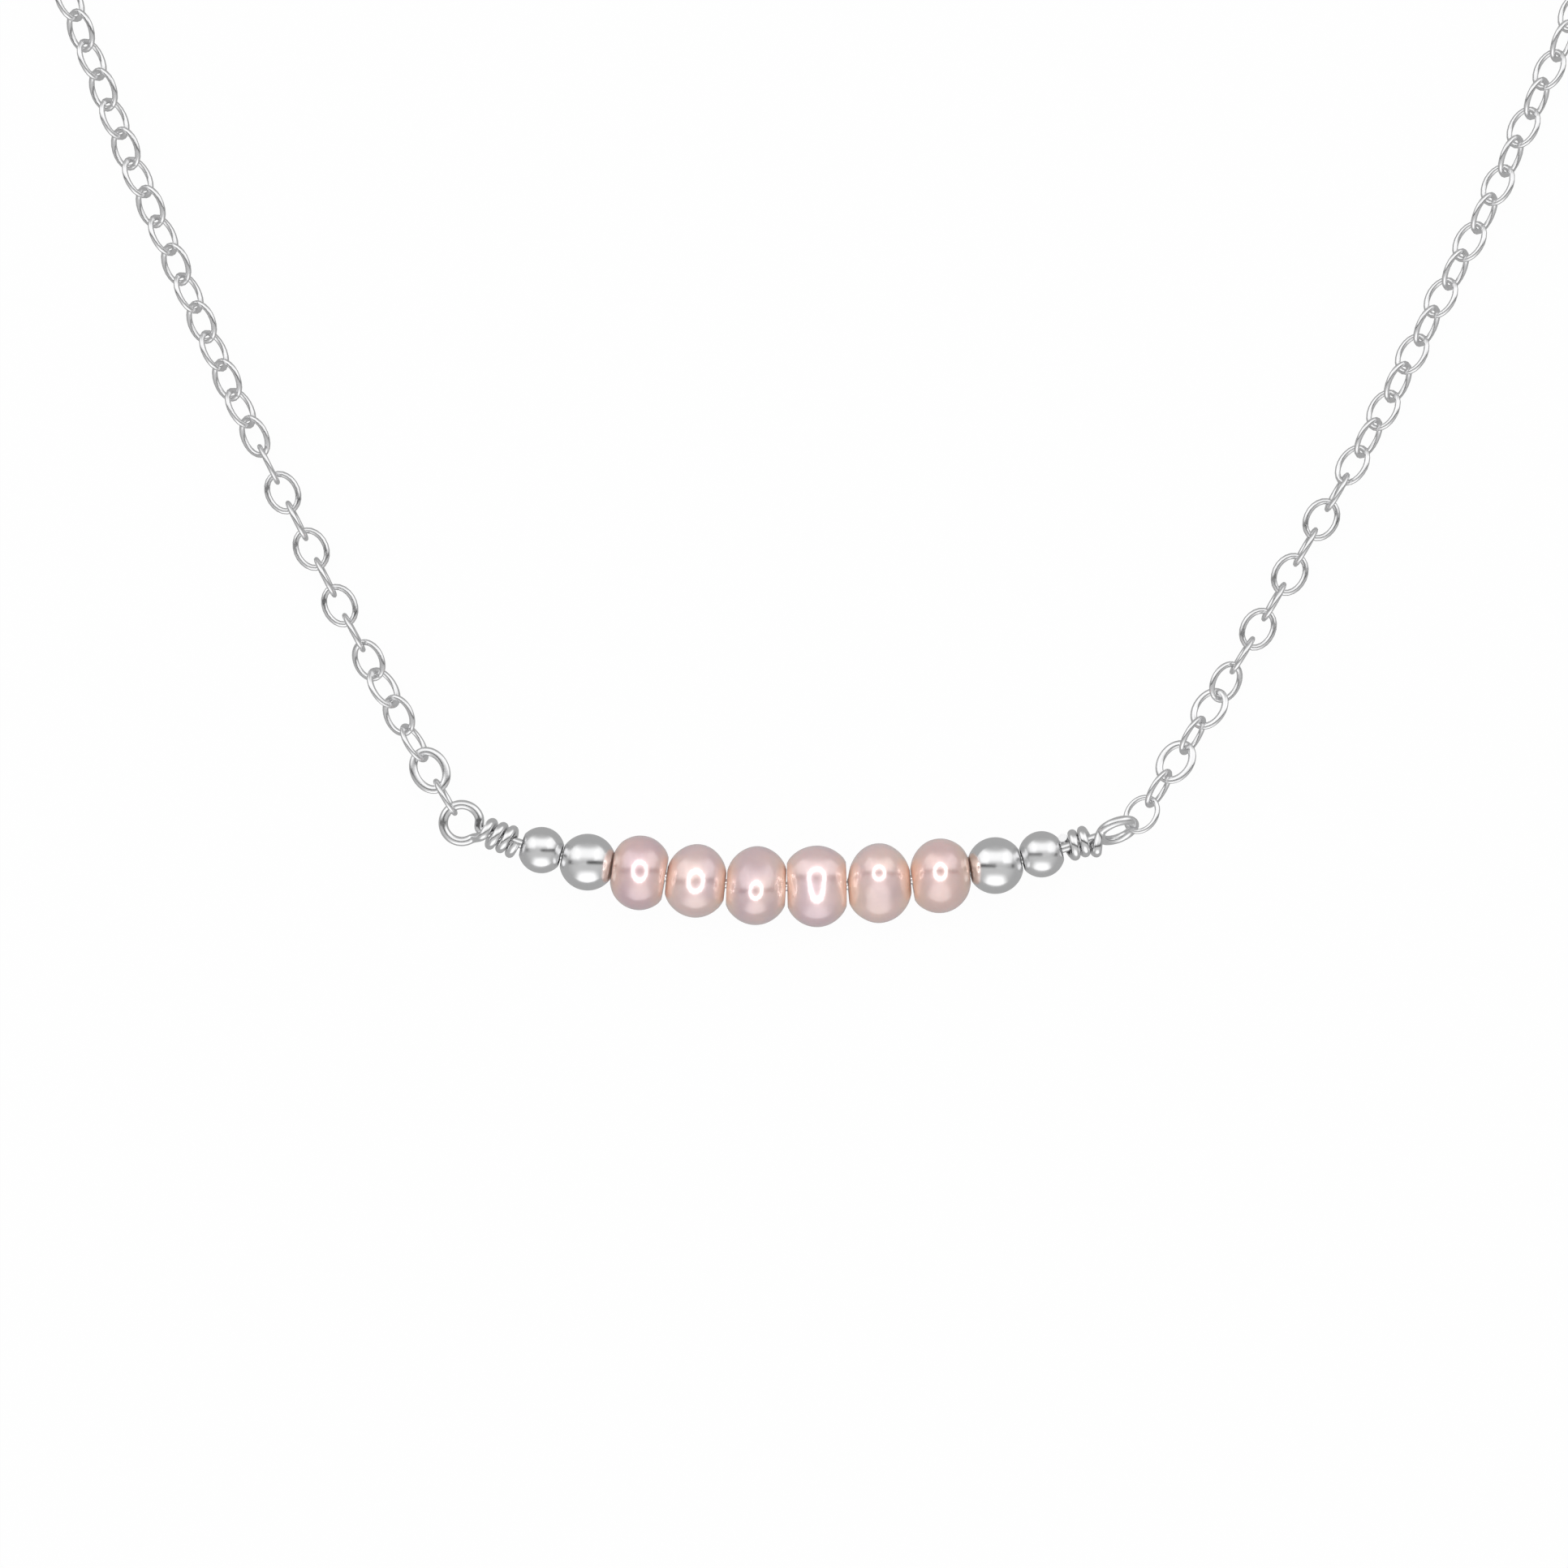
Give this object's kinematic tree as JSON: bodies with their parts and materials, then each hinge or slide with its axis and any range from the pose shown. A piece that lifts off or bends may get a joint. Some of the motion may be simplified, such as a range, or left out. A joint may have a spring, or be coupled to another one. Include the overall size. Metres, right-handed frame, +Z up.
{
  "type": "pearl necklace",
  "caption": "Fine cable-chain necklace with a short wired bar of freshwater pearls and round silver beads, laid open with its lobster clasp unhooked",
  "frame": {"origin": "Middle of the base of the whole necklace's box, on the surface that it lies on", "axes": "+X along the pearl bar, +Y from the bar up the neck opening to the clasp, +Z up off the surface that it lies on"},
  "size_m": [0.1538, 0.182, 0.0044],
  "materials": {
    "pearl_1": "nacre, semi-gloss",
    "pearl_2": "nacre, semi-gloss",
    "pearl_3": "nacre, semi-gloss",
    "pearl_4": "nacre, semi-gloss",
    "pearl_5": "nacre, semi-gloss",
    "pearl_6": "nacre, semi-gloss",
    "silver_wire": "polished",
    "silver_bead": "mirror polished",
    "silver_chain": "polished",
    "silver_clasp": "polished",
    "spring_steel": "drawn wire"
  },
  "bodies": {
    "bar": {"bar_wire": "silver_wire"},
    "pearl_1": {"pearl_1": "pearl_1"},
    "pearl_2": {"pearl_2": "pearl_2"},
    "pearl_3": {"pearl_3": "pearl_3"},
    "pearl_4": {"pearl_4": "pearl_4"},
    "pearl_5": {"pearl_5": "pearl_5"},
    "pearl_6": {"pearl_6": "pearl_6"},
    "large_bead_left": {"large_bead_left": "silver_bead"},
    "large_bead_right": {"large_bead_right": "silver_bead"},
    "small_bead_left": {"small_bead_left": "silver_bead"},
    "small_bead_right": {"small_bead_right": "silver_bead"},
    "left_link_1": {"left_link_1": "silver_chain"},
    "left_link_2": {"left_link_2": "silver_chain"},
    "left_link_3": {"left_link_3": "silver_chain"},
    "left_link_4": {"left_link_4": "silver_chain"},
    "left_link_5": {"left_link_5": "silver_chain"},
    "left_link_6": {"left_link_6": "silver_chain"},
    "left_link_7": {"left_link_7": "silver_chain"},
    "left_run_1": {"left_run_1": "silver_chain"},
    "left_run_2": {"left_run_2": "silver_chain"},
    "left_run_3": {"left_run_3": "silver_chain"},
    "left_run_4": {"left_run_4": "silver_chain"},
    "left_run_5": {"left_run_5": "silver_chain"},
    "left_run_6": {"left_run_6": "silver_chain"},
    "left_run_7": {"left_run_7": "silver_chain"},
    "left_run_8": {"left_run_8": "silver_chain"},
    "left_run_9": {"left_run_9": "silver_chain"},
    "left_run_10": {"left_run_10": "silver_chain"},
    "left_run_11": {"left_run_11": "silver_chain"},
    "left_run_12": {"left_run_12": "silver_chain"},
    "left_end_link": {"left_end_link": "silver_chain"},
    "right_link_1": {"right_link_1": "silver_chain"},
    "right_link_2": {"right_link_2": "silver_chain"},
    "right_link_3": {"right_link_3": "silver_chain"},
    "right_link_4": {"right_link_4": "silver_chain"},
    "right_link_5": {"right_link_5": "silver_chain"},
    "right_link_6": {"right_link_6": "silver_chain"},
    "right_link_7": {"right_link_7": "silver_chain"},
    "right_run_1": {"right_run_1": "silver_chain"},
    "right_run_2": {"right_run_2": "silver_chain"},
    "right_run_3": {"right_run_3": "silver_chain"},
    "right_run_4": {"right_run_4": "silver_chain"},
    "right_run_5": {"right_run_5": "silver_chain"},
    "right_run_6": {"right_run_6": "silver_chain"},
    "right_run_7": {"right_run_7": "silver_chain"},
    "right_run_8": {"right_run_8": "silver_chain"},
    "right_run_9": {"right_run_9": "silver_chain"},
    "right_run_10": {"right_run_10": "silver_chain"},
    "right_run_11": {"right_run_11": "silver_chain"},
    "right_run_12": {"right_run_12": "silver_chain"},
    "right_end_link": {"right_end_link": "silver_chain"},
    "clasp_ring": {"clasp_ring": "silver_chain"},
    "clasp": {"clasp_body": "silver_clasp", "clasp_pin": "silver_clasp", "clasp_spring": "spring_steel"},
    "clasp_lever": {"clasp_lever": "silver_clasp"},
    "end_ring": {"end_ring": "silver_chain"}
  },
  "joints": [
    {"name": "clasp_ring_lift", "type": "hinge", "parent": "left_end_link", "child": "clasp_ring", "pos_m": [-0.0723, 0.08042, 0.0007], "axis": [0.9895, 0.1442, 0], "range_deg": [0, 45]},
    {"name": "clasp_sway", "type": "hinge", "parent": "clasp_ring", "child": "clasp", "pos_m": [-0.07252, 0.08191, 0], "axis": [0, 0, 1], "range_deg": [-35, 35]},
    {"name": "clasp_lever_press", "type": "hinge", "parent": "clasp", "child": "clasp_lever", "pos_m": [-0.07441, 0.08485, 0], "axis": [0, 0, 1], "range_deg": [-20, 0], "stiffness_Nm_per_rad": 0.004, "springref_deg": 8.59},
    {"name": "end_ring_lift", "type": "hinge", "parent": "right_end_link", "child": "end_ring", "pos_m": [0.07461, 0.0778, 0.0007], "axis": [0.9847, -0.1744, 0], "range_deg": [0, 80]},
    {"name": "left_end_link_sway", "type": "hinge", "parent": "left_run_12", "child": "left_end_link", "pos_m": [-0.07206, 0.07876, 0.0007], "axis": [0, 0, 1], "range_deg": [-40, 40]},
    {"name": "right_end_link_sway", "type": "hinge", "parent": "right_run_12", "child": "right_end_link", "pos_m": [0.07441, 0.07667, 0.0007], "axis": [0, 0, 1], "range_deg": [-40, 40]},
    {"name": "left_link_1_lift", "type": "hinge", "parent": "bar", "child": "left_link_1", "pos_m": [-0.01942, -0.08485, 0.00218], "axis": [0.8504, 0.5262, 0], "range_deg": [0, 45]},
    {"name": "right_link_1_sway", "type": "hinge", "parent": "bar", "child": "right_link_1", "pos_m": [0.0168, -0.08525, 0.00218], "axis": [0, 0, 1], "range_deg": [-30, 30]},
    {"name": "left_link_2_sway", "type": "hinge", "parent": "left_link_1", "child": "left_link_2", "pos_m": [-0.02022, -0.08354, 0.002], "axis": [0.0509, -0.0833, -0.9952], "range_deg": [-30, 30]},
    {"name": "right_link_2_lift", "type": "hinge", "parent": "right_link_1", "child": "right_link_2", "pos_m": [0.01764, -0.08397, 0.002], "axis": [-0.8371, 0.547, 0], "range_deg": [-45, 0]},
    {"name": "left_link_3_lift", "type": "hinge", "parent": "left_link_2", "child": "left_link_3", "pos_m": [-0.02108, -0.0821, 0.0018], "axis": [-0.8568, -0.5157, 0], "range_deg": [-45, 0]},
    {"name": "right_link_3_sway", "type": "hinge", "parent": "right_link_2", "child": "right_link_3", "pos_m": [0.01854, -0.08256, 0.0018], "axis": [-0.0638, -0.0989, -0.993], "range_deg": [-30, 30]},
    {"name": "left_link_4_sway", "type": "hinge", "parent": "left_link_3", "child": "left_link_4", "pos_m": [-0.02194, -0.08066, 0.0016], "axis": [-0.0601, 0.1012, 0.993], "range_deg": [-30, 30]},
    {"name": "right_link_4_lift", "type": "hinge", "parent": "right_link_3", "child": "right_link_4", "pos_m": [0.01944, -0.08114, 0.0016], "axis": [0.8441, -0.5362, 0], "range_deg": [0, 45]},
    {"name": "left_link_5_lift", "type": "hinge", "parent": "left_link_4", "child": "left_link_5", "pos_m": [-0.02279, -0.0792, 0.0014], "axis": [0.8633, 0.5046, 0], "range_deg": [0, 45]},
    {"name": "right_link_5_sway", "type": "hinge", "parent": "right_link_4", "child": "right_link_5", "pos_m": [0.02034, -0.07971, 0.0014], "axis": [0.0625, 0.0998, 0.993], "range_deg": [-30, 30]},
    {"name": "left_link_6_sway", "type": "hinge", "parent": "left_link_5", "child": "left_link_6", "pos_m": [-0.02362, -0.07775, 0.0012], "axis": [0.0587, -0.102, -0.993], "range_deg": [-30, 30]},
    {"name": "right_link_6_lift", "type": "hinge", "parent": "right_link_5", "child": "right_link_6", "pos_m": [0.02122, -0.07828, 0.0012], "axis": [-0.8509, 0.5253, 0], "range_deg": [-45, 0]},
    {"name": "left_link_7_lift", "type": "hinge", "parent": "left_link_6", "child": "left_link_7", "pos_m": [-0.02445, -0.07629, 0.001], "axis": [-0.8698, -0.4934, 0], "range_deg": [-45, 0]},
    {"name": "right_link_7_sway", "type": "hinge", "parent": "right_link_6", "child": "right_link_7", "pos_m": [0.02209, -0.07685, 0.001], "axis": [-0.0612, -0.1006, -0.993], "range_deg": [-30, 30]},
    {"name": "left_run_1_sway", "type": "hinge", "parent": "left_link_7", "child": "left_run_1", "pos_m": [-0.02527, -0.07482, 0.0009], "axis": [-0.0329, 0.0588, 0.9977], "range_deg": [-30, 30]},
    {"name": "right_run_1_sway", "type": "hinge", "parent": "right_link_7", "child": "right_run_1", "pos_m": [0.02295, -0.0754, 0.0009], "axis": [0.0347, 0.0578, 0.9977], "range_deg": [-30, 30]},
    {"name": "left_run_2_sway", "type": "hinge", "parent": "left_run_1", "child": "left_run_2", "pos_m": [-0.03148, -0.06289, 0.0007], "axis": [0.0037, -0.0074, -1], "range_deg": [-35, 35]},
    {"name": "right_run_2_sway", "type": "hinge", "parent": "right_run_1", "child": "right_run_2", "pos_m": [0.02952, -0.06367, 0.0007], "axis": [-0.0039, -0.0073, -1], "range_deg": [-35, 35]},
    {"name": "left_run_3_sway", "type": "hinge", "parent": "left_run_2", "child": "left_run_3", "pos_m": [-0.03706, -0.05067, 0.0007], "axis": [0, 0, 1], "range_deg": [-40, 40]},
    {"name": "right_run_3_sway", "type": "hinge", "parent": "right_run_2", "child": "right_run_3", "pos_m": [0.03548, -0.05163, 0.0007], "axis": [0, 0, 1], "range_deg": [-40, 40]},
    {"name": "left_run_4_sway", "type": "hinge", "parent": "left_run_3", "child": "left_run_4", "pos_m": [-0.04201, -0.03818, 0.0007], "axis": [0, 0, -1], "range_deg": [-45, 45]},
    {"name": "right_run_4_sway", "type": "hinge", "parent": "right_run_3", "child": "right_run_4", "pos_m": [0.04081, -0.03929, 0.0007], "axis": [0, 0, -1], "range_deg": [-45, 45]},
    {"name": "left_run_5_sway", "type": "hinge", "parent": "left_run_4", "child": "left_run_5", "pos_m": [-0.04656, -0.02553, 0.0007], "axis": [0, 0, 1], "range_deg": [-50, 50]},
    {"name": "right_run_5_sway", "type": "hinge", "parent": "right_run_4", "child": "right_run_5", "pos_m": [0.04574, -0.02679, 0.0007], "axis": [0, 0, 1], "range_deg": [-50, 50]},
    {"name": "left_run_6_lift", "type": "hinge", "parent": "left_run_5", "child": "left_run_6", "pos_m": [-0.05081, -0.01278, 0.0007], "axis": [0.9518, 0.3068, 0], "range_deg": [0, 60]},
    {"name": "right_run_6_lift", "type": "hinge", "parent": "right_run_5", "child": "right_run_6", "pos_m": [0.05038, -0.01418, 0.0007], "axis": [0.9419, -0.3358, 0], "range_deg": [0, 60]},
    {"name": "left_run_7_sway", "type": "hinge", "parent": "left_run_6", "child": "left_run_7", "pos_m": [-0.05477, 0.00006, 0.0007], "axis": [0, 0, 1], "range_deg": [-60, 60]},
    {"name": "right_run_7_sway", "type": "hinge", "parent": "right_run_6", "child": "right_run_7", "pos_m": [0.05472, -0.00146, 0.0007], "axis": [0, 0, 1], "range_deg": [-60, 60]},
    {"name": "left_run_8_sway", "type": "hinge", "parent": "left_run_7", "child": "left_run_8", "pos_m": [-0.05842, 0.013, 0.0007], "axis": [0, 0, -1], "range_deg": [-60, 60]},
    {"name": "right_run_8_sway", "type": "hinge", "parent": "right_run_7", "child": "right_run_8", "pos_m": [0.05876, 0.01136, 0.0007], "axis": [0, 0, -1], "range_deg": [-60, 60]},
    {"name": "left_run_9_sway", "type": "hinge", "parent": "left_run_8", "child": "left_run_9", "pos_m": [-0.06176, 0.02602, 0.0007], "axis": [0, 0, 1], "range_deg": [-60, 60]},
    {"name": "right_run_9_sway", "type": "hinge", "parent": "right_run_8", "child": "right_run_9", "pos_m": [0.0625, 0.02427, 0.0007], "axis": [0, 0, 1], "range_deg": [-60, 60]},
    {"name": "left_run_10_sway", "type": "hinge", "parent": "left_run_9", "child": "left_run_10", "pos_m": [-0.0648, 0.03911, 0.0007], "axis": [0, 0, -1], "range_deg": [-60, 60]},
    {"name": "right_run_10_sway", "type": "hinge", "parent": "right_run_9", "child": "right_run_10", "pos_m": [0.06594, 0.03726, 0.0007], "axis": [0, 0, -1], "range_deg": [-60, 60]},
    {"name": "left_run_11_lift", "type": "hinge", "parent": "left_run_10", "child": "left_run_11", "pos_m": [-0.06753, 0.05227, 0.0007], "axis": [-0.9811, -0.1934, 0], "range_deg": [-60, 0]},
    {"name": "right_run_11_lift", "type": "hinge", "parent": "right_run_10", "child": "right_run_11", "pos_m": [0.06907, 0.05033, 0.0007], "axis": [-0.9748, 0.2232, 0], "range_deg": [-60, 0]},
    {"name": "left_run_12_sway", "type": "hinge", "parent": "left_run_11", "child": "left_run_12", "pos_m": [-0.06995, 0.06549, 0.0007], "axis": [0, 0, -1], "range_deg": [-60, 60]},
    {"name": "right_run_12_sway", "type": "hinge", "parent": "right_run_11", "child": "right_run_12", "pos_m": [0.0719, 0.06347, 0.0007], "axis": [0, 0, -1], "range_deg": [-60, 60]},
    {"name": "pearl_1_spin", "type": "hinge", "parent": "bar", "child": "pearl_1", "pos_m": [-0.00938, -0.08821, 0.00218], "axis": [0.9874, -0.1585, 0], "continuous": true},
    {"name": "pearl_2_spin", "type": "hinge", "parent": "bar", "child": "pearl_2", "pos_m": [-0.0064, -0.0886, 0.00218], "axis": [0.9952, -0.0978, 0], "continuous": true},
    {"name": "pearl_3_spin", "type": "hinge", "parent": "bar", "child": "pearl_3", "pos_m": [-0.00321, -0.08881, 0.00218], "axis": [0.9995, -0.0326, 0], "continuous": true},
    {"name": "pearl_4_spin", "type": "hinge", "parent": "bar", "child": "pearl_4", "pos_m": [-0.00001, -0.08881, 0.00218], "axis": [0.9995, 0.0326, 0], "continuous": true},
    {"name": "pearl_5_spin", "type": "hinge", "parent": "bar", "child": "pearl_5", "pos_m": [0.00328, -0.08859, 0.00218], "axis": [0.995, 0.0998, 0], "continuous": true},
    {"name": "pearl_6_spin", "type": "hinge", "parent": "bar", "child": "pearl_6", "pos_m": [0.0065, -0.08816, 0.00218], "axis": [0.9862, 0.1656, 0], "continuous": true},
    {"name": "large_bead_left_spin", "type": "hinge", "parent": "bar", "child": "large_bead_left", "pos_m": [-0.01214, -0.08769, 0.00218], "axis": [0.9766, -0.2149, 0], "continuous": true},
    {"name": "large_bead_right_spin", "type": "hinge", "parent": "bar", "child": "large_bead_right", "pos_m": [0.00941, -0.08758, 0.00218], "axis": [0.9744, 0.2249, 0], "continuous": true},
    {"name": "small_bead_left_spin", "type": "hinge", "parent": "bar", "child": "small_bead_left", "pos_m": [-0.01459, -0.08708, 0.00218], "axis": [0.9643, -0.2649, 0], "continuous": true},
    {"name": "small_bead_right_spin", "type": "hinge", "parent": "bar", "child": "small_bead_right", "pos_m": [0.01185, -0.08695, 0.00218], "axis": [0.9615, 0.2747, 0], "continuous": true}
  ]
}
